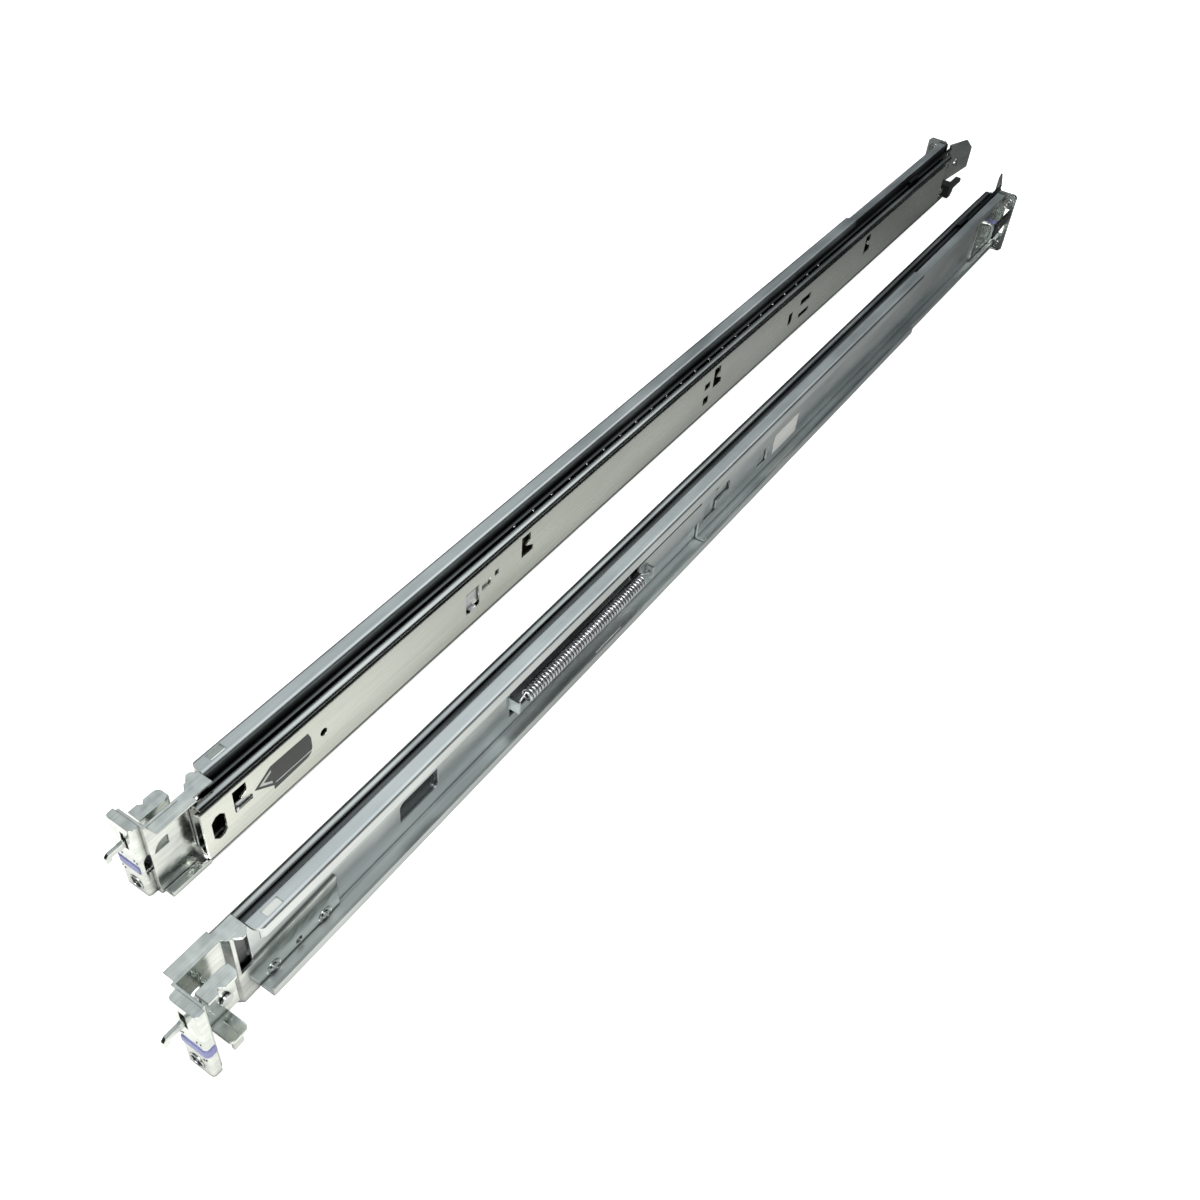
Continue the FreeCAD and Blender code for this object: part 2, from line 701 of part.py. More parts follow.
def slide_inner():
    body = new_body("slide_inner_left", "slide_centre")
    back = f"{INNER_FACE} - slide_wall"
    top_edge = "row_height - race_radius * sin(inner_top_angle)"
    pad(body, "y", "-inner_front", "inner_end", whole([
        (back, below_row(ROLL, f"{back} - ({INNER_BALL})")),
        lobe(INNER_BALL, "-inner_lip_angle", ROLL) + (ROLL, -1),
        lobe(INNER_BALL, "-inner_lip_angle", "race_radius"),
        lobe(INNER_BALL, "-inner_top_angle", "race_radius") + ("race_radius", 1),
        (INNER_FACE, top_edge)]))
    cuts = [j_slot(start) for start in ("first_slot", "second_slot", "third_slot", "fourth_slot")]
    cuts.append(cropped("-nose_slot_end", "-nose_slot_end + nose_slot_length",
                        "-nose_slot_height / 2", "nose_slot_height / 2", "nose_slot_length / 3"))
    cuts.append(rectangle("lock_slot_start", "lock_slot_start + lock_slot_length",
                          "lock_slot_low", "lock_slot_low + lock_slot_height"))
    for start, length, low, height in LONG_SLOTS:
        cuts.append(rectangle(start, f"{start} + {length}", low, f"{low} + {height}"))
    cuts.append(circle(*WEB_HOLE))
    pocket(body, "x", back, INNER_FACE, *cuts)
    return body


def cage(label, x):
    body = new_body(label, "slide_centre")
    edge = "row_height - cage_edge"
    pad(body, "y", "cage_start", "cage_start + cage_length",
        rectangle(x, f"{x} + cage_wall", f"-({edge})", edge))
    return body


def balls(label, x):
    body = new_body(label, "slide_centre")
    ball(body, x, "cage_start + ball_inset", "row_height")
    ball(body, x, "cage_start + cage_length - ball_inset", "-row_height")
    return body


def flare_plate():
    """Guide at the rear end of the fixed member, bent inboard."""
    body = new_body("flare_plate_left")
    tip = f"{FIXED_WEB} + flare_reach"
    top = "flare_low + flare_height"
    pad(body, "z", "flare_low", top, [
        (FIXED_WEB, "flare_start"), (f"{FIXED_WEB} + flare_wall", "flare_start"),
        (f"{FIXED_WEB} + flare_wall", "flare_bend"), (tip, "flare_end"),
        (f"{tip} - flare_wall", "flare_end"), (FIXED_WEB, "flare_bend + flare_wall / 3")])
    pocket(body, "x", FIXED_WEB, tip,
           [("flare_end - flare_corner", top), ("flare_end", f"{top} - flare_corner"), ("flare_end", top)],
           [("flare_bend", "flare_low"), ("flare_end", "flare_low"), ("flare_end", "flare_low + flare_corner")])
    inset = "slide_centre + flare_foot / 2"
    pocket(body, "x", FIXED_WEB, tip, rectangle("flare_start", "flare_bend + rear_play", inset, top))
    return body


def end_stop():
    """Black moulding on the rear end of the fixed member, with a blunt hook that points rearward."""
    body = new_body("end_stop_left")
    inner = "channel_depth + stop_depth"
    top = "stop_low + stop_height"
    bevel = "stop_length / 3"
    pad(body, "x", "channel_depth", inner, [
        ("fixed_end", "stop_low"), (f"fixed_end + stop_length - {bevel}", "stop_low"),
        ("fixed_end + stop_length", f"stop_low + {bevel}"), ("fixed_end + stop_length", top),
        ("fixed_end", top)])
    pad(body, "x", f"{inner} - stop_hook_width", inner, [
        ("fixed_end + stop_length / 2", f"{top} - stop_hook_height"), ("stop_hook_end", f"{top} - stop_hook_height"),
        ("stop_hook_end", f"{top} - stop_hook_height / 2"), (f"stop_hook_end - {bevel}", top),
        ("fixed_end + stop_length / 2", top)])
    return body


def server_latch():
    """Sprung leaf on the hidden side of the inner member, with a catch in the foot of the first slot."""
    body = new_body("server_latch_left", "slide_centre")
    back = f"{INNER_FACE} - slide_wall"
    leaf = f"{back} - leaf_gap"
    low, high = "leaf_low", "leaf_low + leaf_height"
    foot = "slot_top - slot_drop"
    pad(body, "x", f"{leaf} - leaf_wall", leaf, rectangle(
        "first_slot - leaf_boss", "leaf_end", low, high))
    pad(body, "x", leaf, f"{INNER_FACE} + leaf_gap", rectangle(
        "first_slot + catch_setback", "first_slot + catch_setback + leaf_wall * 2",
        f"{foot} + catch_setback", f"{foot} + slot_waist - catch_setback"))
    pad(body, "x", leaf, back, rectangle(
        "leaf_boss_end - leaf_boss", "leaf_boss_end", low, high))
    return body


def slide_lock():
    """Lever on the hidden side of the inner member, its tab in the square slot."""
    body = new_body("slide_lock_left", "slide_centre")
    back = f"{INNER_FACE} - slide_wall"
    leaf = f"{back} - leaf_gap"
    tab, foot = "lock_slot_start + lock_width / 4", "lock_slot_low + lock_wall"
    pad(body, "x", f"{leaf} - lock_wall", leaf, rectangle(
        "lock_slot_start - 2 * lock_wall", "lock_pivot + lock_width / 2", "-lock_width / 2", "lock_width / 2"))
    pad(body, "x", leaf, f"{INNER_FACE} + lock_proud", rectangle(
        tab, f"{tab} + lock_width / 2", foot, f"{foot} + lock_wall"))
    pad(body, "x", leaf, back, rectangle(
        "lock_pivot - leaf_boss / 2", "lock_pivot + leaf_boss / 2", "-leaf_boss / 2", "leaf_boss / 2"))
    return body


# ---- rear section, drawn out to the depth of the rack ----

def new_rear_body(label):
    return new_body(label, along="left_rear_draw")


def rear_channel():
    body = new_rear_body("rear_channel_left")
    lip = "channel_wall + rear_play"
    low_lip = "channel_wall + rear_play - bottom_step"
    wall = "rear_wall"
    web = f"{REAR_WEB} - {wall}"
    pad(body, "y", "rear_start", "rear_plate_y", [
        (lip, f"{REAR_TOP} - rear_top_lip"), (f"{lip} + {wall}", f"{REAR_TOP} - rear_top_lip"),
        (f"{lip} + {wall}", f"{REAR_TOP} - {wall}"), (web, f"{REAR_TOP} - {wall}"),
        (web, f"{REAR_FLOOR} + {wall}"), (f"{low_lip} + {wall}", f"{REAR_FLOOR} + {wall}"),
        (f"{low_lip} + {wall}", f"{REAR_FLOOR} + rear_bottom_lip"), (low_lip, f"{REAR_FLOOR} + rear_bottom_lip"),
        (low_lip, REAR_FLOOR), (REAR_WEB, REAR_FLOOR), (REAR_WEB, REAR_TOP), (lip, REAR_TOP)])
    pad(body, "x", web, REAR_WEB, rectangle(
        "tongue_start", f"rear_start + {wall}", "tongue_low", "tongue_low + tongue_height"))
    pad(body, "y", "rear_tab_y", f"rear_tab_y + {wall}", rectangle(
        f"{WEB} - spring_tab_reach", f"{web} + {wall} / 2",
        "spring_tab_low", "spring_tab_low + spring_tab_height"))
    start, middle = "rear_cut_start", "rear_cut_start + rear_cut_length / 2"
    low, end = "rear_cut_low", "rear_cut_start + rear_cut_length"
    pocket(body, "x", web, REAR_WEB, [
        (start, low), (middle, low), (middle, f"{low} + rear_cut_step"), (end, f"{low} + rear_cut_step"),
        (end, f"{low} + 2 * rear_cut_step"), (middle, f"{low} + 2 * rear_cut_step"),
        (middle, f"{low} + 3 * rear_cut_step"), (start, f"{low} + 3 * rear_cut_step")],
        rectangle("rear_port", "rear_port + rear_port_length",
                  "rear_port_low", "rear_port_low + rear_port_height"))
    return body


def rear_bracket():
    """Flat plate across the rear end, with a tongue riveted inside the rear channel."""
    body = new_rear_body("rear_bracket_left")
    face = f"{REAR_WEB} - rear_wall"
    clear = "rear_wall + rear_slot_play"
    pad(body, "y", "rear_plate_y", REAR_POST, cropped(
        "-rear_plate_outboard", "rear_plate_inboard", "0", "channel_height", "rear_corner"))
    pad(body, "x", REAR_TONGUE, face, rectangle(
        "rear_plate_y - rear_tongue_length", "rear_plate_y + rear_plate_wall / 2",
        f"{REAR_FLOOR} + {clear}", f"{REAR_TOP} - ({clear})"))
    pocket(body, "y", "rear_plate_y", REAR_POST, rectangle(
        "rear_latch_x - latch_play", "rear_latch_x + latch_wall + latch_play",
        REAR_SLOT, "rear_pivot_z + rear_hook_body + latch_lift + rear_slot_play / 2"))
    touch_low = "touch_low + rear_touch_rise"
    pocket(body, "y", "rear_plate_y", REAR_POST, rectangle(
        "rear_touch_x", "rear_touch_x + rear_touch_width", touch_low, f"{touch_low} + touch_height"))
    return body


def rear_studs():
    body = new_rear_body("rear_studs_left")
    pad(body, "y", REAR_POST, f"{REAR_POST} + stud_length",
        circle("-stud_x", "stud_low", "stud_diameter"),
        circle("-stud_x", "stud_low + stud_pitch", "stud_diameter"))
    return body


def rear_latch():
    """Flat hook behind the plate: its nose stands through the slot and drops behind the rack post."""
    body = new_rear_body("rear_latch_left")
    back = "rear_plate_y - rear_latch_length"
    tip = "rear_plate_y + rear_hook"
    top = "rear_pivot_z + rear_hook_body"
    low = "rear_pivot_z - rear_hook_drop"
    pad(body, "x", "rear_latch_x", "rear_latch_x + latch_wall", [
        (back, "rear_pivot_z - rear_hook_tail"), (f"{tip} - hook_barb - rear_hook_step", "rear_pivot_z - rear_hook_nose"),
        (f"{tip} - hook_barb", "rear_pivot_z - rear_hook_nose"), (f"{tip} - hook_barb", low), (tip, low),
        (tip, f"{top} - rear_hook_nose"), (f"{tip} - rear_hook_nose", top), (back, top)])
    pocket(body, "x", "rear_latch_x", "rear_latch_x + latch_wall",
           circle("rear_pivot_y", "rear_pivot_z", "pin_diameter + 2 * pin_fit"))
    return body


def rear_touch_piece():
    body = new_rear_body("rear_touch_piece_left")
    low = "touch_low + rear_touch_rise"
    pad(body, "y", "rear_plate_y", f"{REAR_POST} + touch_proud", rectangle(
        "rear_touch_x + touch_fit", "rear_touch_x + rear_touch_width - touch_fit",
        f"{low} + touch_fit", f"{low} + touch_height - touch_fit"))
    return body


def rear_rivets():
    body = new_rear_body("rear_rivets_left")
    rivet_row(body, "x", f"{REAR_TONGUE} - rivet_height", REAR_TONGUE, REAR_RIVETS)
    return body


def extension_spring(side, draw_out):
    """Close-wound spring as a round bar, with a straight leg at each end up to its tab."""
    body = new_body(f"extension_spring_{side}")
    near = "spring_tab_y + channel_wall"
    far = f"rear_tab_y + {draw_out}"
    start, end = f"{near} + coil_inset", f"{far} - coil_inset"
    pad(body, "y", start, end, circle("spring_x", "spring_z", "spring_diameter"))
    leg = rectangle("spring_x - spring_wire / 2", "spring_x + spring_wire / 2",
                    "spring_z - spring_wire / 2", "spring_z + spring_wire / 2")
    pad(body, "y", near, f"{start} + spring_wire", leg)
    pad(body, "y", f"{end} - spring_wire", far, leg)
    return body


def mirrored(piece, label, along):
    """The other rail's twin of a piece, across the pair's middle plane."""
    twin = document.addObject("Part::Mirroring", label)
    twin.Label = label
    twin.Source = piece
    twin.Normal = Vector(1, 0, 0)
    bind(twin, "Placement.Base.y", along)
    return twin


def front_pin():
    pin = pivot_pin("front_pivot_pin_left", "-pivot_y", "pivot_z", "latch_x", BRACKET_BACK)
    pad(pin, "x", "latch_x - side_play - pin_head_height", "latch_x - side_play",
        circle("-pivot_y", "pivot_z", "pin_head"))
    return pin


def rear_pin():
    return pivot_pin("rear_pivot_pin_left", "rear_pivot_y", "rear_pivot_z", "rear_latch_x", REAR_TONGUE,
                     "left_rear_draw")


def outer_cage():
    return cage("outer_cage_left", f"{FIXED_WEB} + cage_gap")


def outer_balls():
    return balls("outer_balls_left", OUTER_BALL)


def inner_cage():
    return cage("inner_cage_left", f"{INNER_BALL} - race_radius + cage_gap / 3")


def inner_balls():
    return balls("inner_balls_left", INNER_BALL)


FIXED_OR_INNER = [
    outer_channel, front_bracket, front_plate, front_bush, front_touch_piece, front_latch, front_pin,
    front_rivets, slide_fixed, flare_plate, end_stop, slide_middle, slide_inner,
    outer_cage, outer_balls, inner_cage, inner_balls, server_latch, slide_lock,
]
REAR = [rear_channel, rear_bracket, rear_studs, rear_latch, rear_pin, rear_touch_piece, rear_rivets]

pieces = []
for make in FIXED_OR_INNER:
    piece = make()
    pieces += [piece, mirrored(piece, piece.Label.replace("_left", "_right"), "-rail_stagger")]
for make in REAR:
    piece = make()
    pieces += [piece, mirrored(piece, piece.Label.replace("_left", "_right"), "-rail_stagger - left_rear_draw")]
pieces.append(extension_spring("left", "left_rear_draw"))
twin = mirrored(extension_spring("source", "0"), "extension_spring_right", "-rail_stagger")
pieces.append(twin)
document.recompute()

failed = [item.Label for item in document.Objects if {"Invalid", "Error"} & set(item.State)]
if failed:
    raise SystemExit(f"features that failed: {failed}")
for item in document.Objects:
    if item.TypeId == "PartDesign::Pocket" and item.Shape.Volume >= item.BaseFeature.Shape.Volume:
        raise SystemExit(f"{item.Label} cuts nothing")
for piece in pieces:
    if piece.Shape.isNull() or not piece.Shape.isValid():
        raise SystemExit(f"{piece.Label} has no valid shape")

os.makedirs("parts", exist_ok=True)
for piece in pieces:
    piece.Shape.exportStep(f"parts/{piece.Label}.step")
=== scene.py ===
import math

import bmesh
import bpy
from mathutils import Matrix, Vector


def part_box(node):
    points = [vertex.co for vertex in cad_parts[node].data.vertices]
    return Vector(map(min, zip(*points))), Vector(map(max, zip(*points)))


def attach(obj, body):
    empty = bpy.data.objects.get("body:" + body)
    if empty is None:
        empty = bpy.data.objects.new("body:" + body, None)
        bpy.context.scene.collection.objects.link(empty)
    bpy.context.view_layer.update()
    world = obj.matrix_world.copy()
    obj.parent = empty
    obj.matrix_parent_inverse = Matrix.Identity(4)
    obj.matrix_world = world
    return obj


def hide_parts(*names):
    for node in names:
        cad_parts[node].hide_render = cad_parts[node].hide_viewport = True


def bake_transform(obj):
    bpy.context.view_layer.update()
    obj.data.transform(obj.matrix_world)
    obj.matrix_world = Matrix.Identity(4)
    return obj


# Pair of sliding server rails: finishes, springs, balls, labels, pressed details, floor, light and
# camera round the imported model.

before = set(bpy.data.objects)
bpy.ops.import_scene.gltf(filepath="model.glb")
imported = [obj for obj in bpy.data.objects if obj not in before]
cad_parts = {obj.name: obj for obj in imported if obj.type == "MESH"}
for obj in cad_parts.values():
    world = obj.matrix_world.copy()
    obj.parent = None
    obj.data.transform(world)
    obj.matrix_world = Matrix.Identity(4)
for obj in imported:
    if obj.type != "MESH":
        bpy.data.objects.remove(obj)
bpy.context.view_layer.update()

MM = 0.001
SIDES = {"left": -1, "right": 1}      # sign of X on which each rail stands
RAIL_PLANE = 37.0                     # from the middle of the pair to each rail's outboard plane, mm


# ---- shader helpers ----

def linear(code):
    """Linear colour with alpha from an sRGB hex code."""
    channels = [int(code[i:i + 2], 16) / 255 for i in (1, 3, 5)]
    return tuple(c / 12.92 if c <= 0.04045 else ((c + 0.055) / 1.055) ** 2.4 for c in channels) + (1.0,)


def add(tree, kind, settings=None, **links):
    """Adds a node: settings by property name, links by socket name or _index, as (node, output) or a value."""
    node = tree.nodes.new(kind)
    for name, setting in (settings or {}).items():
        setattr(node, name, setting)
    for name, source in links.items():
        socket = node.inputs[int(name[1:])] if name[1:].isdigit() else node.inputs[name.replace("_", " ")]
        if isinstance(source, tuple) and isinstance(source[0], bpy.types.Node):
            tree.links.new(source[0].outputs[source[1]], socket)
        else:
            socket.default_value = source
    return node


def new_material(name):
    material = bpy.data.materials.new(name)
    material.use_nodes = True
    material.node_tree.nodes.clear()
    return material, material.node_tree


def per_mm(size):
    """Texture scale that gives features of this size in millimetres."""
    return 1 / (size * MM)


def graded(tree, stops, source):
    """Colour ramp through the stops, each a place from 0 to 1 with its colour."""
    ramp = add(tree, "ShaderNodeValToRGB", Fac=source)
    points = ramp.color_ramp.elements
    while len(points) < len(stops):
        points.new(0.5)
    for point, (place, colour) in zip(points, stops):
        point.position = place
        point.color = linear(colour)
    return ramp


STREAK_LENGTH = 0.012                 # squeeze of the rolling lines along the rail
CLOUD_LENGTH = 0.25                   # squeeze of the clouds along the rail
STREAK_SHARE = 0.3                    # share of the lines in the tone, the rest being clouds
TONE_LOW, TONE_HIGH = 0.32, 0.68      # span of the noise that goes from the dark to the light tone
SHADED_OPENNESS, UNSHADED_OPENNESS = 0.25, 0.9    # openness of a corner from full painted shade to none
SHEET_EDGE = 0.35 * MM                # radius that catches the light on a sheet's edge
SWELL = 7.0                           # size of the unevenness of the sheet, mm


def plated_sheet(name, light, dark, roughness, grain=0.35, cloud=14.0, bump=0.05, wave=0.0, shade_strength=0.78,
                 shade_reach=2.2):
    """Cold-rolled sheet under bright zinc: faint rolling lines along the rail, soft clouds of tone, painted
    shade darkening the corners where sheets meet, and a slight waviness that breaks up the reflections."""
    material, tree = new_material(name)
    place = add(tree, "ShaderNodeTexCoord")
    along = add(tree, "ShaderNodeMapping", Vector=(place, "Object"), Scale=(1.0, STREAK_LENGTH, 1.0))
    lines = add(tree, "ShaderNodeTexNoise", Vector=(along, "Vector"), Scale=per_mm(grain * 2), Detail=4.0)
    wide = add(tree, "ShaderNodeMapping", Vector=(place, "Object"), Scale=(1.0, CLOUD_LENGTH, 1.0))
    clouds = add(tree, "ShaderNodeTexNoise", Vector=(wide, "Vector"), Scale=per_mm(cloud), Detail=3.0)
    both = add(tree, "ShaderNodeMix", {"data_type": "FLOAT"}, _0=STREAK_SHARE, _2=(clouds, "Fac"),
               _3=(lines, "Fac"))
    shades = graded(tree, [(TONE_LOW, dark), (TONE_HIGH, light)], (both, "Result"))
    # Painted shade: ambient occlusion darkens the tone in corners and hollows.
    occlusion = add(tree, "ShaderNodeAmbientOcclusion", {"samples": 4}, Distance=shade_reach * MM)
    painted_shade = add(tree, "ShaderNodeMapRange", Value=(occlusion, "AO"), From_Min=SHADED_OPENNESS, From_Max=UNSHADED_OPENNESS,
               To_Min=1 - shade_strength, To_Max=1.0)
    tone = add(tree, "ShaderNodeVectorMath", {"operation": "SCALE"}, _0=(shades, "Color"),
               Scale=(painted_shade, "Result"))
    rough = add(tree, "ShaderNodeMapRange", Value=(both, "Result"), From_Min=0.3, From_Max=0.7,
                To_Min=roughness - 0.06, To_Max=roughness + 0.08)
    edge = add(tree, "ShaderNodeBevel", {"samples": 4}, Radius=SHEET_EDGE)
    swell = add(tree, "ShaderNodeTexNoise", Vector=(place, "Object"), Scale=per_mm(SWELL), Detail=1.0)
    waves = add(tree, "ShaderNodeBump", Strength=wave, Distance=0.5 * MM, Height=(swell, "Fac"),
                Normal=(edge, "Normal"))
    relief = add(tree, "ShaderNodeBump", Strength=bump, Distance=0.05 * MM, Height=(lines, "Fac"),
                 Normal=(waves, "Normal"))
    surface = add(tree, "ShaderNodeBsdfPrincipled", Base_Color=(tone, "Vector"), Metallic=1.0,
                  Roughness=(rough, "Result"), Normal=(relief, "Normal"))
    add(tree, "ShaderNodeOutputMaterial", Surface=(surface, "BSDF"))
    return material


def turned_steel(name, light, dark, roughness):
    """Small turned or headed part: even bright plating with faint handling marks."""
    return plated_sheet(name, light, dark, roughness, grain=0.2, cloud=3.0, bump=0.08)


def even_surface(name, light, dark, roughness, mottle, strength, depth, edge_radius=None):
    """Even colour with a fine relief of the given size, strength and depth, and perhaps softened edges."""
    material, tree = new_material(name)
    place = add(tree, "ShaderNodeTexCoord")
    grain = add(tree, "ShaderNodeTexNoise", Vector=(place, "Object"), Scale=per_mm(mottle), Detail=2.0)
    shades = graded(tree, [(0.0, dark), (1.0, light)], (grain, "Fac"))
    soft = {}
    if edge_radius:
        soft["Normal"] = (add(tree, "ShaderNodeBevel", {"samples": 4}, Radius=edge_radius), "Normal")
    relief = add(tree, "ShaderNodeBump", Strength=strength, Distance=depth, Height=(grain, "Fac"), **soft)
    surface = add(tree, "ShaderNodeBsdfPrincipled", Base_Color=(shades, "Color"), Roughness=roughness,
                  Normal=(relief, "Normal"))
    add(tree, "ShaderNodeOutputMaterial", Surface=(surface, "BSDF"))
    return material


def moulded_plastic(name, light, dark, roughness):
    """Injection-moulded nylon: even colour with a fine spark-eroded grain."""
    return even_surface(name, light, dark, roughness, 0.5, 0.1, 0.03 * MM, edge_radius=0.3 * MM)


def printed_film(name, light, dark, roughness):
    """Self-adhesive film: flat even colour with a slight orange peel from the glue below."""
    return even_surface(name, light, dark, roughness, 2.5, 0.12, 0.05 * MM)


# Satin grey, streaked along the rail; it blurs the room into long soft bands.
zinc_channel = plated_sheet("Zinc-plated channel", "#DEE2E1", "#B9BEBE", 0.34, wave=0.10)
# Brighter and uneven, so that reflections wander over the bent plates.
zinc_plate = plated_sheet("Zinc-plated pressing", "#E6E9E4", "#BCC1BE", 0.20, cloud=6.0, wave=0.45)
# Clearer mirror under oil, with deep painted shade in the hollows between the members.
slide_steel = plated_sheet("Oiled slide steel", "#D2D4D1", "#8F9292", 0.18, shade_reach=9.0, shade_strength=0.88)
# Fixed member in a darker tone all over, with the same painted shade in its hollows.
fixed_steel = plated_sheet("Dark-toned fixed member", "#6B6E6F", "#3E4041", 0.20, shade_reach=9.0, shade_strength=0.9)
# Warm pale face, even along its whole length.
inner_steel = plated_sheet("Bright zinc inner member", "#E4E6DE", "#C9CCC3", 0.24, cloud=22.0, wave=0.06,
                           shade_strength=0.35)
spring_wire = turned_steel("Drawn spring wire", "#E6E7E9", "#C4C6C8", 0.34)
ball_steel = turned_steel("Ground ball steel", "#DCDEE0", "#C0C2C5", 0.08)
cage_strip = plated_sheet("Passivated cage strip", "#B5AE96", "#8F8973", 0.35)
headed_steel = turned_steel("Plated headed steel", "#D6D9D8", "#A8ACAB", 0.22)
black_coat = plated_sheet("Black phosphated hook", "#4A4C50", "#26282B", 0.32, cloud=4.0)
lavender_nylon = moulded_plastic("Lavender moulded nylon", "#8E90C4", "#7F81B6", 0.35)
black_nylon = moulded_plastic("Black moulded nylon", "#232425", "#1A1B1C", 0.4)
dark_film = printed_film("Dark label film", "#3C3F3E", "#303332", 0.42)
white_film = printed_film("White label film", "#E9E9E4", "#DCDCD6", 0.5)

FINISHES = {
    "outer_channel": zinc_channel, "rear_channel": zinc_channel, "front_bracket": zinc_plate,
    "front_plate": zinc_plate, "front_latch": zinc_plate, "rear_bracket": zinc_plate,
    "flare_plate": zinc_plate, "slide_fixed": fixed_steel, "slide_middle": slide_steel,
    "slide_inner": inner_steel, "front_bush": headed_steel, "front_pivot_pin": headed_steel,
    "rear_pivot_pin": headed_steel, "front_rivets": headed_steel, "rear_rivets": headed_steel,
    "rear_studs": headed_steel, "front_touch_piece": lavender_nylon, "end_stop": black_nylon,
    "rear_touch_piece": lavender_nylon, "rear_latch": black_coat, "outer_cage": cage_strip,
    "inner_cage": cage_strip, "server_latch": spring_wire, "slide_lock": spring_wire,
    "outer_balls": ball_steel, "inner_balls": ball_steel, "extension_spring": spring_wire,
}
for name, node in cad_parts.items():
    finish = FINISHES[name.rsplit("_", 1)[0]]
    node.data.materials.clear()
    node.data.materials.append(finish)


# ---- makers of pieces ----

def piece(name, mesh, material, body):
    """Object with one finish. It rides on its body, if it is given one."""
    obj = bpy.data.objects.new(name, mesh)
    bpy.context.scene.collection.objects.link(obj)
    mesh.materials.append(material)
    if body:
        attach(obj, body)
    return obj


def solid(name, build, material, body, smooth=True):
    """Mesh piece whose shape the function build adds to an empty bmesh."""
    mesh = bpy.data.meshes.new(name)
    shape = bmesh.new()
    build(shape)
    bmesh.ops.recalc_face_normals(shape, faces=shape.faces)
    shape.to_mesh(mesh)
    shape.free()
    for polygon in mesh.polygons:
        polygon.use_smooth = smooth
    return piece(name, mesh, material, body)


def wire(name, points, radius, material, body):
    """Round wire along the points."""
    curve = bpy.data.curves.new(name, "CURVE")
    curve.dimensions = "3D"
    curve.bevel_depth = radius
    curve.bevel_resolution = 3
    curve.use_fill_caps = True
    spline = curve.splines.new("POLY")
    spline.points.add(len(points) - 1)
    for point, co in zip(spline.points, points):
        point.co = (*co, 1.0)
    holder = bpy.data.objects.new(name + "_curve", curve)
    mesh = bpy.data.meshes.new_from_object(holder)
    bpy.data.objects.remove(holder)
    for polygon in mesh.polygons:
        polygon.use_smooth = True
    return piece(name, mesh, material, body)


def film(name, outline, x, thickness, material, body):
    """Flat film on a web: the outline (y, z) raised by its thickness from the face at x."""
    def build(shape):
        face = shape.faces.new([shape.verts.new((x, y, z)) for y, z in outline])
        raised = bmesh.ops.extrude_face_region(shape, geom=[face])["geom"]
        corners = [item for item in raised if isinstance(item, bmesh.types.BMVert)]
        bmesh.ops.translate(shape, verts=corners, vec=(thickness, 0, 0))

    return solid(name, build, material, body, smooth=False)


def ring(shape, centre, axis, radius, thickness, steps=32, facets=8):
    """Closed round ring about an axis, X or Y."""
    loops = []
    for step in range(steps):
        turn = 2 * math.pi * step / steps
        loop = []
        for facet in range(facets):
            tilt = 2 * math.pi * facet / facets
            reach = radius + thickness * math.cos(tilt)
            lift = thickness * math.sin(tilt)
            around = (reach * math.cos(turn), reach * math.sin(turn))
            offset = (lift, *around) if axis == "X" else (around[0], lift, around[1])
            loop.append(shape.verts.new(Vector(centre) + Vector(offset)))
        loops.append(loop)
    for step in range(steps):
        here, there = loops[step], loops[(step + 1) % steps]
        for facet in range(facets):
            beyond = (facet + 1) % facets
            shape.faces.new((here[facet], there[facet], there[beyond], here[beyond]))


def rail_x(side, aside):
    """X of a place given in millimetres from the rail's outboard plane towards the server."""
    return SIDES[side] * (RAIL_PLANE - aside) * MM


# ---- springs and balls ----

SPRING_TURNS = 46
SPRING_STEPS = 16                     # straight lengths of wire in a turn
WIRE_RADIUS = 0.6 * MM
HOOK_LENGTH = 6.6 * MM                # from the spring's end to its first turn
HOOK_TIP = 0.3 * MM                   # from the spring's end to the middle of the wire
HOOK_RISE = 3 * MM                    # stretch over which the hook meets the coil
HOOK_HEIGHT = 0.5                     # height of the hook's knee, in coil radii


def spring(side):
    """Close-wound extension spring with a hook at each tab."""
    low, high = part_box(f"extension_spring_{side}")
    axis_x = (low.x + high.x) / 2
    axis_z = (low.z + high.z) / 2
    radius = (high.x - low.x) / 2 - WIRE_RADIUS
    knee_z = axis_z + radius * HOOK_HEIGHT
    start, end = low.y + HOOK_LENGTH, high.y - HOOK_LENGTH
    points = [Vector((axis_x, low.y + HOOK_TIP, axis_z)), Vector((axis_x, start - HOOK_RISE, knee_z))]
    for step in range(SPRING_TURNS * SPRING_STEPS + 1):
        share = step / (SPRING_TURNS * SPRING_STEPS)
        turn = 2 * math.pi * step / SPRING_STEPS
        points.append(Vector((axis_x + radius * math.sin(turn), start + share * (end - start),
                              axis_z + radius * math.cos(turn))))
    points.append(Vector((axis_x, end + HOOK_RISE, knee_z)))
    points.append(Vector((axis_x, high.y - HOOK_TIP, axis_z)))
    obj = wire(f"coil_spring_{side}", points, WIRE_RADIUS, spring_wire, None)
    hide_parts(f"extension_spring_{side}")
    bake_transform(obj)


BALLS_IN_ROW = 22
BALL_RADIUS = 1.25 * MM
BALL_BAND = math.cos(math.radians(22.5))      # half height of a ball's octagonal band, in radii


def ball_rows(kind, side):
    """Full rows of balls, above and below, that roll with their cage."""
    low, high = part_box(f"{kind}_balls_{side}")
    x = (low.x + high.x) / 2
    first, last = low.y + BALL_RADIUS, high.y - BALL_RADIUS

    def build(shape):
        for z in (low.z + BALL_BAND * BALL_RADIUS, high.z - BALL_BAND * BALL_RADIUS):
            for index in range(BALLS_IN_ROW):
                y = first + index / (BALLS_IN_ROW - 1) * (last - first)
                bmesh.ops.create_icosphere(shape, subdivisions=2, radius=BALL_RADIUS,
                                           matrix=Matrix.Translation((x, y, z)))

    obj = solid(f"{kind}_ball_rows_{side}", build, ball_steel, f"{kind}_ball_strip_{side}")
    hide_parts(f"{kind}_balls_{side}")


# ---- labels ----

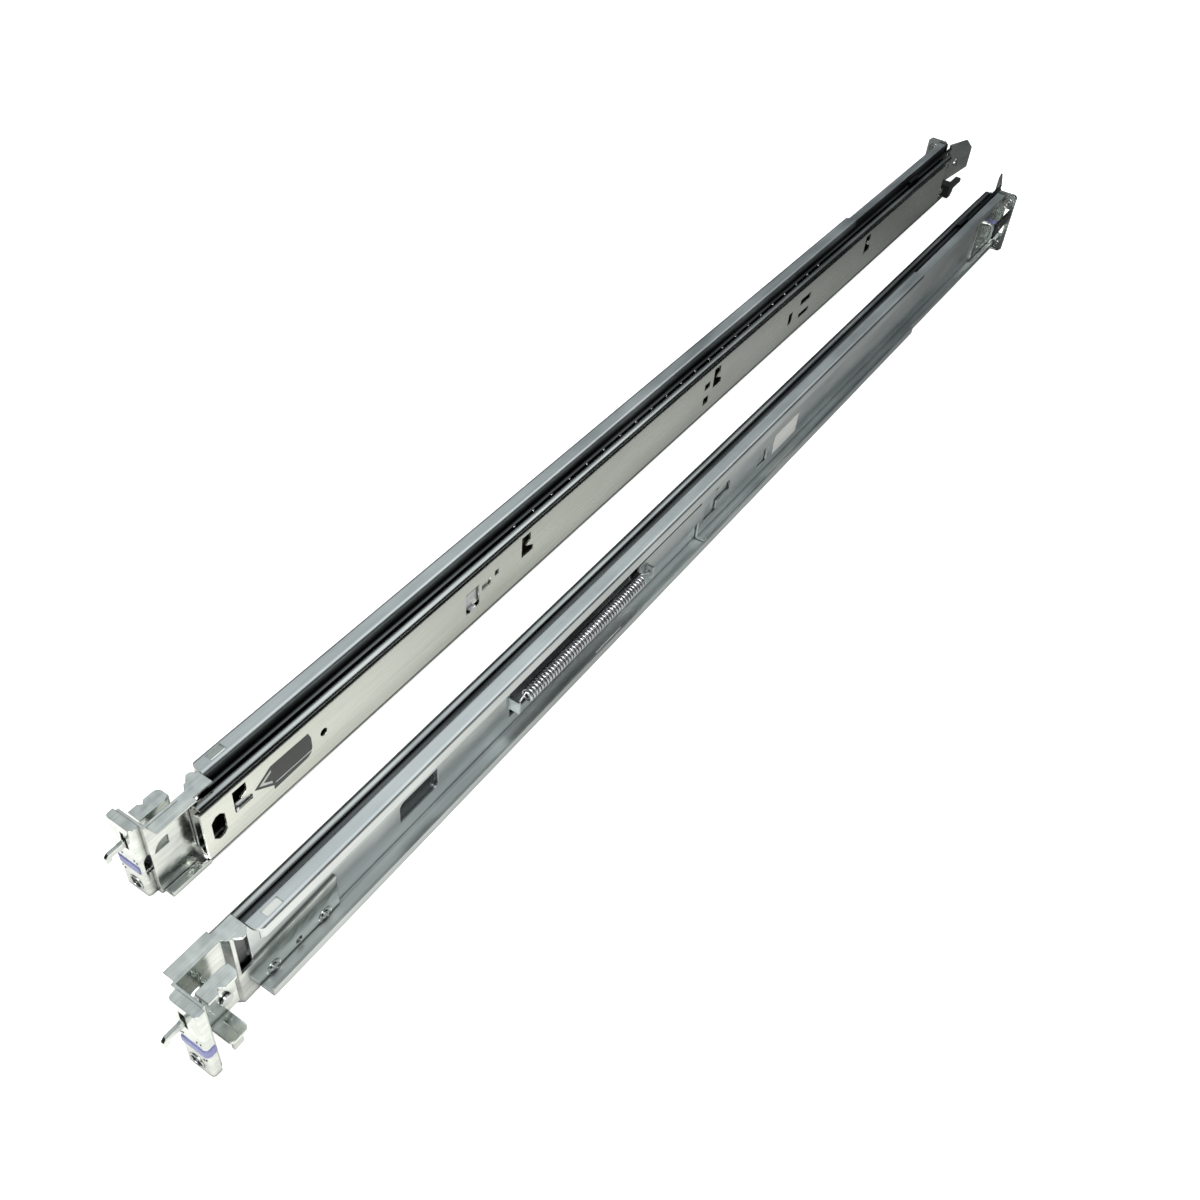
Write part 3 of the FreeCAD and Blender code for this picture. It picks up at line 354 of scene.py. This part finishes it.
FILM = 0.12 * MM
NOSE_REACH = 12 * MM                  # how far the inner member stands out before the rail's start
# Outlines in millimetres behind the rail's start and above the member's middle.
LABEL = [(24.0, 8.2), (45.6, 8.0), (46.8, 4.5), (46.9, -1.3), (45.9, -4.2), (43.9, -5.6), (24.4, -6.6),
         (24.6, -4.2), (14.6, 2.4)]
LABEL_CHEVRON = [(17.0, 2.5), (23.8, 6.4), (23.8, 5.0), (19.4, 2.5), (23.8, -0.6), (23.8, -2.0)]
LABEL_RULE = [(25.5, -2.9), (46.2, -2.9), (46.2, -3.3), (25.5, -3.3)]


def front_label(side):
    """Arrow-shaped label behind the first slot, left bare of words, with its pale chevron and rule."""
    sign = SIDES[side]
    low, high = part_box(f"slide_inner_{side}")
    face = high.x if sign < 0 else low.x
    start = low.y + NOSE_REACH
    middle = (low.z + high.z) / 2

    def at(points):
        return [(start + y * MM, middle + z * MM) for y, z in points]

    film(f"front_label_{side}", at(LABEL), face, -sign * FILM, dark_film, f"inner_member_{side}")
    for index, stripe in enumerate((LABEL_CHEVRON, LABEL_RULE)):
        film(f"front_label_print_{index}_{side}", at(stripe), face - sign * FILM, -sign * FILM / 2,
             white_film, f"inner_member_{side}")


WEB_WALL = 1.2 * MM
STICKER_START = 142 * MM              # behind the rear channel's front end
STICKER_LENGTH = 28 * MM
STICKER_LOW, STICKER_HIGH = 8.5 * MM, 21 * MM


def rear_sticker(side):
    """Bare white sticker on the outer face of the rear channel's web."""
    low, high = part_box(f"rear_channel_{side}")
    sign = SIDES[side]
    face = (high.x if sign < 0 else low.x) + sign * WEB_WALL
    start = low.y + STICKER_START
    end = start + STICKER_LENGTH
    film(f"rear_sticker_{side}",
         [(start, STICKER_LOW), (start, STICKER_HIGH), (end, STICKER_HIGH), (end, STICKER_LOW)],
         face, sign * FILM, white_film, f"rear_section_{side}")


# ---- pressed and rolled details ----

LIP_RADIUS = 1.1 * MM
LIP_INSET = 0.4 * MM


def rolled_lip(side):
    """Rolled lower edge of the middle member, seen as a bright line under the inner member."""
    low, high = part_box(f"slide_middle_{side}")
    inboard = high.x if SIDES[side] < 0 else low.x
    x = inboard + SIDES[side] * LIP_INSET
    z = low.z + LIP_RADIUS
    wire(f"rolled_lip_{side}", [Vector((x, low.y, z)), Vector((x, high.y, z))], LIP_RADIUS, slide_steel,
         f"middle_member_{side}")


RIVET_HEIGHT = 0.5 * MM
UPSET_GAP, UPSET_WIRE = 1.5 * MM, 0.3 * MM
DIMPLE_SHARE, DIMPLE_WIRE = 0.55, 0.15 * MM


def rivet_rings(side):
    """Ring upset in the tongue round each flush rivet, and the ring of the dimple in its head."""
    low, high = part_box(f"front_rivets_{side}")
    radius = (high.z - low.z) / 2
    head = low.x if SIDES[side] < 0 else high.x
    tongue = head - SIDES[side] * RIVET_HEIGHT
    z = (low.z + high.z) / 2

    def build(shape):
        for y in (low.y + radius, high.y - radius):
            ring(shape, (tongue, y, z), "X", radius + UPSET_GAP, UPSET_WIRE)
            ring(shape, (head, y, z), "X", radius * DIMPLE_SHARE, DIMPLE_WIRE)

    solid(f"rivet_rings_{side}", build, zinc_plate, "frame")


# Staking pits by the touch piece, in millimetres from the outboard plane and above the floor.
STAKES = [(-2.6, 22.6), (-4.6, 23.0), (-3.8, 11.4), (-5.1, 12.2), (4.0, 22.4), (5.3, 21.6)]
PIT_RADIUS = 0.5 * MM
PIT_SHAPE = (0.8, 0.4, 1.3, 1.0)      # across, deep and tall, in radii
RIM_INSET, RIM_WIRE = 0.4 * MM, 0.45 * MM


def plate_marks(side):
    """Staking pits beside the touch piece, coloured black as painted shade in the pits, and the rolled rim of
    the bush.
    """
    plate_low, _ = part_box(f"front_plate_{side}")
    low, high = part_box(f"front_bush_{side}")

    def pits(shape):
        for aside, height in STAKES:
            place = Matrix.Translation((rail_x(side, aside), plate_low.y, height * MM))
            bmesh.ops.create_icosphere(shape, subdivisions=2, radius=PIT_RADIUS,
                                       matrix=place @ Matrix.Diagonal(PIT_SHAPE))

    def rim(shape):
        centre = ((low.x + high.x) / 2, plate_low.y, (low.z + high.z) / 2)
        ring(shape, centre, "Y", (high.x - low.x) / 2 - RIM_INSET, RIM_WIRE)

    # The black on the pits is painted shade in their hollows.
    solid(f"stake_pits_{side}", pits, black_coat, "frame")
    solid(f"bush_rim_{side}", rim, headed_steel, "frame")


CREASE_FAR, CREASE_NEAR = -9.4, -1.6  # ends from the outboard plane, mm
CREASE_HEIGHT = 16.4 * MM
CREASE_BEHIND = 8.4 * MM              # behind the front bracket's front
CREASE_RADIUS = 0.25 * MM


def tab_crease(side):
    """Pressed line across the finger tab of the front latch."""
    low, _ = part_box(f"front_bracket_{side}")
    y = low.y + CREASE_BEHIND
    points = [Vector((rail_x(side, aside), y, CREASE_HEIGHT)) for aside in (CREASE_FAR, CREASE_NEAR)]
    wire(f"tab_crease_{side}", points, CREASE_RADIUS, zinc_plate, f"front_lever_{side}")


BEAD_ASIDE = 16.2                     # from the outboard plane, mm
BEAD_BEHIND = 11 * MM                 # behind the guide's front end
BEAD_LENGTH, BEAD_HEIGHT = 4.5 * MM, 5.5 * MM
BEAD_STEPS = 16
BEAD_START = -0.1                     # start of the arch below level, in half turns
BEAD_RADIUS = 0.6 * MM


def flare_emboss(side):
    """Arched bead pressed into the flared guide at the rear."""
    low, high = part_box(f"flare_plate_{side}")
    x = rail_x(side, BEAD_ASIDE)
    y = low.y + BEAD_BEHIND
    z = (low.z + high.z) / 2
    points = []
    for step in range(BEAD_STEPS + 1):
        turn = math.pi * (step / BEAD_STEPS + BEAD_START)
        points.append(Vector((x, y + BEAD_LENGTH * math.cos(turn), z + BEAD_HEIGHT * math.sin(turn))))
    wire(f"flare_bead_{side}", points, BEAD_RADIUS, zinc_plate, "frame")


BUMPER_ASIDE = 16.2                   # from the outboard plane, mm
BUMPER_LIFT = 9.4 * MM                # above and below the member's middle
BUMPER_INSET = 4.5 * MM               # before the member's rear end
BUMPER_RADIUS = 1.0 * MM
BUMPER_SHAPE = (0.9, 3.6, 2.2, 1.0)   # across, along and tall, in radii


def end_bumpers(side):
    """Two small formed bumpers at the middle member's rear end, behind the inner member."""
    low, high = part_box(f"slide_middle_{side}")
    middle = (low.z + high.z) / 2

    def build(shape):
        for lift in (-BUMPER_LIFT, BUMPER_LIFT):
            place = Matrix.Translation((rail_x(side, BUMPER_ASIDE), high.y - BUMPER_INSET, middle + lift))
            bmesh.ops.create_icosphere(shape, subdivisions=3, radius=BUMPER_RADIUS,
                                       matrix=place @ Matrix.Diagonal(BUMPER_SHAPE))

    solid(f"end_bumpers_{side}", build, headed_steel, f"middle_member_{side}")


REAR_WALL = 1.5 * MM
COLLAR_GAP, COLLAR_WIRE = 0.3 * MM, 0.45 * MM
SOCKET_SHARE, SOCKET_WIRE = 0.45, 0.4 * MM


def stud_collars(side):
    """Swaged collar and socket of each rear stud on the front of its plate."""
    low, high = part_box(f"rear_studs_{side}")
    radius = (high.x - low.x) / 2
    x = (low.x + high.x) / 2
    y = low.y - REAR_WALL

    def build(shape):
        for z in (low.z + radius, high.z - radius):
            ring(shape, (x, y, z), "Y", radius + COLLAR_GAP, COLLAR_WIRE)
            ring(shape, (x, y, z), "Y", radius * SOCKET_SHARE, SOCKET_WIRE)

    solid(f"stud_collars_{side}", build, headed_steel, f"rear_section_{side}")


for side in SIDES:
    spring(side)
    rolled_lip(side)
    rivet_rings(side)
    plate_marks(side)
    tab_crease(side)
    flare_emboss(side)
    end_bumpers(side)
    stud_collars(side)
    for kind in ("outer", "inner"):
        ball_rows(kind, side)
    front_label(side)
rear_sticker("right")


# ---- floor, light and camera ----

FLOOR_HALF = 12.0
FLOOR_GLOW = 0.78                     # lifts the paper to an even white for the eye
FLOOR_NEAR_Y, FLOOR_FAR_Y = -0.45, 0.55      # stretch over which the paper's light falls off
FLOOR_GAIN = 1.75
FLOOR_LIGHT = [(0.0, "#EFEFEA"), (0.12, "#E6E6E2"), (0.26, "#B9BAB7"), (0.55, "#8E908F"), (0.80, "#5A5C5B"),
               (1.0, "#3E4040")]      # the paper's light from the front to the rear
FLOOR_SHADE = 25 * MM                 # how far a rail darkens the paper beside it


def studio_floor():
    """White paper: plain to the eye, and in the metal a bright field that dims towards the rear."""
    mesh = bpy.data.meshes.new("floor")
    half = FLOOR_HALF
    mesh.from_pydata([(-half, -half, 0), (half, -half, 0), (half, half, 0), (-half, half, 0)], [],
                     [(0, 1, 2, 3)])
    floor = bpy.data.objects.new("floor", mesh)
    bpy.context.scene.collection.objects.link(floor)
    material, tree = new_material("White studio floor")
    path = add(tree, "ShaderNodeLightPath")
    paint = add(tree, "ShaderNodeBsdfDiffuse", Color=linear("#E8E8E8"))
    glow = add(tree, "ShaderNodeEmission", Color=linear("#FFFFFF"), Strength=FLOOR_GLOW)
    plain = add(tree, "ShaderNodeAddShader", _0=(paint, "BSDF"), _1=(glow, "Emission"))
    place = add(tree, "ShaderNodeTexCoord")
    along = add(tree, "ShaderNodeSeparateXYZ", Vector=(place, "Object"))
    depth = add(tree, "ShaderNodeMapRange", Value=(along, "Y"), From_Min=FLOOR_NEAR_Y, From_Max=FLOOR_FAR_Y)
    fall = graded(tree, FLOOR_LIGHT, (depth, "Result"))
    under = add(tree, "ShaderNodeAmbientOcclusion", {"samples": 4}, Distance=FLOOR_SHADE)
    shade = add(tree, "ShaderNodeMath", {"operation": "MULTIPLY"}, _0=FLOOR_GAIN, _1=(under, "AO"))
    field = add(tree, "ShaderNodeEmission", Color=(fall, "Color"), Strength=(shade, "Value"))
    mirrored = add(tree, "ShaderNodeMixShader", _0=(path, "Is Glossy Ray"), _1=(paint, "BSDF"),
                   _2=(field, "Emission"))
    mix = add(tree, "ShaderNodeMixShader", _0=(path, "Is Camera Ray"), _1=(mirrored, "Shader"),
              _2=(plain, "Shader"))
    add(tree, "ShaderNodeOutputMaterial", Surface=(mix, "Shader"))
    mesh.materials.append(material)


# Light of the room by the height of the direction, from the horizon to straight up.
CEILING = [(0.00, "#111315"), (0.30, "#1C1E20"), (0.42, "#37393B"), (0.56, "#656B6D"), (0.70, "#A8AEB0"),
           (0.85, "#E8EEF0"), (1.00, "#EFF5F7")]
CEILING_GAIN = 1.7
CURTAIN_START, CURTAIN_END = 0.42, 0.70      # directions to the right between which the room goes dark
CURTAIN_LIGHT = 0.12
HOOD_END, HOOD_START = 0.25, 0.40     # directions to the rear between which the hood over the front ends
HOOD_LIGHT = 0.45


def soft_world():
    """Room above the paper: bright high behind, dim near the horizon and over the front, and nearly black
    to the right."""
    world = bpy.data.worlds.new("studio")
    bpy.context.scene.world = world
    world.use_nodes = True
    tree = world.node_tree
    tree.nodes.clear()
    path = add(tree, "ShaderNodeLightPath")
    place = add(tree, "ShaderNodeTexCoord")
    facing = add(tree, "ShaderNodeSeparateXYZ", Vector=(place, "Generated"))
    ceiling = graded(tree, CEILING, (facing, "Z"))
    curtain = add(tree, "ShaderNodeMapRange", Value=(facing, "X"), From_Min=CURTAIN_START,
                  From_Max=CURTAIN_END, To_Min=CEILING_GAIN, To_Max=CURTAIN_LIGHT)
    hood = add(tree, "ShaderNodeMapRange", Value=(facing, "Y"), From_Min=HOOD_END, From_Max=HOOD_START,
               To_Min=HOOD_LIGHT, To_Max=1.0)
    light = add(tree, "ShaderNodeMath", {"operation": "MULTIPLY"}, _0=(curtain, "Result"),
                _1=(hood, "Result"))
    room = add(tree, "ShaderNodeBackground", Color=(ceiling, "Color"), Strength=(light, "Value"))
    white = add(tree, "ShaderNodeBackground", Color=linear("#FFFFFF"), Strength=1.0)
    mix = add(tree, "ShaderNodeMixShader", _0=(path, "Is Camera Ray"), _1=(room, "Background"),
              _2=(white, "Background"))
    add(tree, "ShaderNodeOutputWorld", Surface=(mix, "Shader"))


def soft_light(name, place, size, power):
    """Soft rectangular lamp that faces the middle of the pair."""
    lamp = bpy.data.lights.new(name, "AREA")
    lamp.shape = "RECTANGLE"
    lamp.size, lamp.size_y = size
    lamp.energy = power
    obj = bpy.data.objects.new(name, lamp)
    obj.location = place
    obj.rotation_euler = (-Vector(place)).to_track_quat("-Z", "Y").to_euler()
    bpy.context.scene.collection.objects.link(obj)


CAMERA_PLACE = (0.2417, -0.52345, 0.4372)
CAMERA_HEADING, CAMERA_DOWN, CAMERA_ROLL = 30.02, 44.13, 5.577      # degrees
CAMERA_LENS = 37.67                   # for a sensor 36 mm wide


def camera():
    """Hand-held height in front of the right rail, looking down the pair."""
    heading, down, roll = (math.radians(angle) for angle in (CAMERA_HEADING, CAMERA_DOWN, CAMERA_ROLL))
    look = Vector((-math.sin(heading) * math.cos(down), math.cos(heading) * math.cos(down), -math.sin(down)))
    right = look.cross(Vector((0, 0, 1))).normalized()
    up = right.cross(look)
    right, up = (right * math.cos(roll) + up * math.sin(roll), up * math.cos(roll) - right * math.sin(roll))
    data = bpy.data.cameras.new("camera")
    data.sensor_width = 36.0
    data.lens = CAMERA_LENS
    data.clip_start = 0.01
    eye = bpy.data.objects.new("camera", data)
    turn = Matrix((right, up, -look)).transposed()
    eye.matrix_world = Matrix.Translation(CAMERA_PLACE) @ turn.to_4x4()
    bpy.context.scene.collection.objects.link(eye)
    bpy.context.scene.camera = eye


studio_floor()
soft_world()
soft_light("key", (0.7, -1.1, 1.5), (1.2, 0.8), 30)
soft_light("panel", (0.76, 1.1, 1.48), (1.4, 0.6), 2.0)
camera()

scene = bpy.context.scene
scene.view_settings.view_transform = "Standard"
